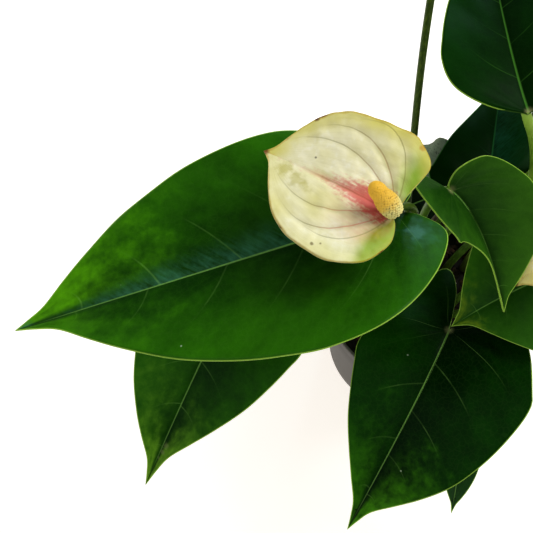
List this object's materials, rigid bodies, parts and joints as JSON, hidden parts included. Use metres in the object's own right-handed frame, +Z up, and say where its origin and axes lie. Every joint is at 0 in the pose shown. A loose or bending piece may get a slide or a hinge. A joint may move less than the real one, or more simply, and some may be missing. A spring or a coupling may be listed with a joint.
{
  "type": "potted anthurium",
  "caption": "Anthurium in a plain tapered pot: glossy heart-shaped leaves and round cream flowers, each with a yellow spadix, on long stalks from potting mix.",
  "frame": {"origin": "middle of the pot's flat foot, on the surface that it stands on", "axes": "+Z up, +Y away from the viewer of the picture, +X to that viewer's right"},
  "size_m": [0.445, 0.418, 0.4281],
  "materials": {
    "leaf": "glossy",
    "deep_leaf": "glossy",
    "young_leaf": "glossy",
    "leaf_stalk": "satin",
    "flower_stalk": "satin",
    "spathe": "satin",
    "spadix": "matte",
    "withered_leaf": "matte",
    "stem": "matte",
    "potting_mix": "matte",
    "pot": "matte"
  },
  "bodies": {
    "root": {"flower_stalk_back": "flower_stalk", "flower_stalk_front": "flower_stalk", "flower_stalk_high": "flower_stalk", "flower_stalk_right": "flower_stalk", "leaf_back_dark": "deep_leaf", "leaf_back_low": "deep_leaf", "leaf_back_right": "leaf", "leaf_back_top": "leaf", "leaf_centre_folded": "leaf", "leaf_front_left_big": "leaf", "leaf_front_low": "deep_leaf", "leaf_front_lowest": "deep_leaf", "leaf_inner_low": "deep_leaf", "leaf_left_low": "leaf", "leaf_right_front": "leaf", "leaf_right_high": "leaf", "leaf_right_low": "leaf", "leaf_stalk_back_dark": "leaf_stalk", "leaf_stalk_back_low": "leaf_stalk", "leaf_stalk_back_right": "leaf_stalk", "leaf_stalk_back_top": "leaf_stalk", "leaf_stalk_centre_folded": "leaf_stalk", "leaf_stalk_front_left_big": "leaf_stalk", "leaf_stalk_front_low": "leaf_stalk", "leaf_stalk_front_lowest": "leaf_stalk", "leaf_stalk_inner_low": "leaf_stalk", "leaf_stalk_left_low": "leaf_stalk", "leaf_stalk_right_front": "leaf_stalk", "leaf_stalk_right_high": "leaf_stalk", "leaf_stalk_right_low": "leaf_stalk", "leaf_stalk_young": "leaf_stalk", "leaf_young": "young_leaf", "pot": "pot", "potting_mix": "potting_mix", "spadix_back": "spadix", "spadix_front": "spadix", "spadix_high": "spadix", "spadix_right": "spadix", "spathe_back": "spathe", "spathe_front": "spathe", "spathe_high": "spathe", "spathe_right": "spathe", "stem": "stem", "withered_leaf": "withered_leaf", "withered_stalk": "withered_leaf"}
  },
  "joints": []
}
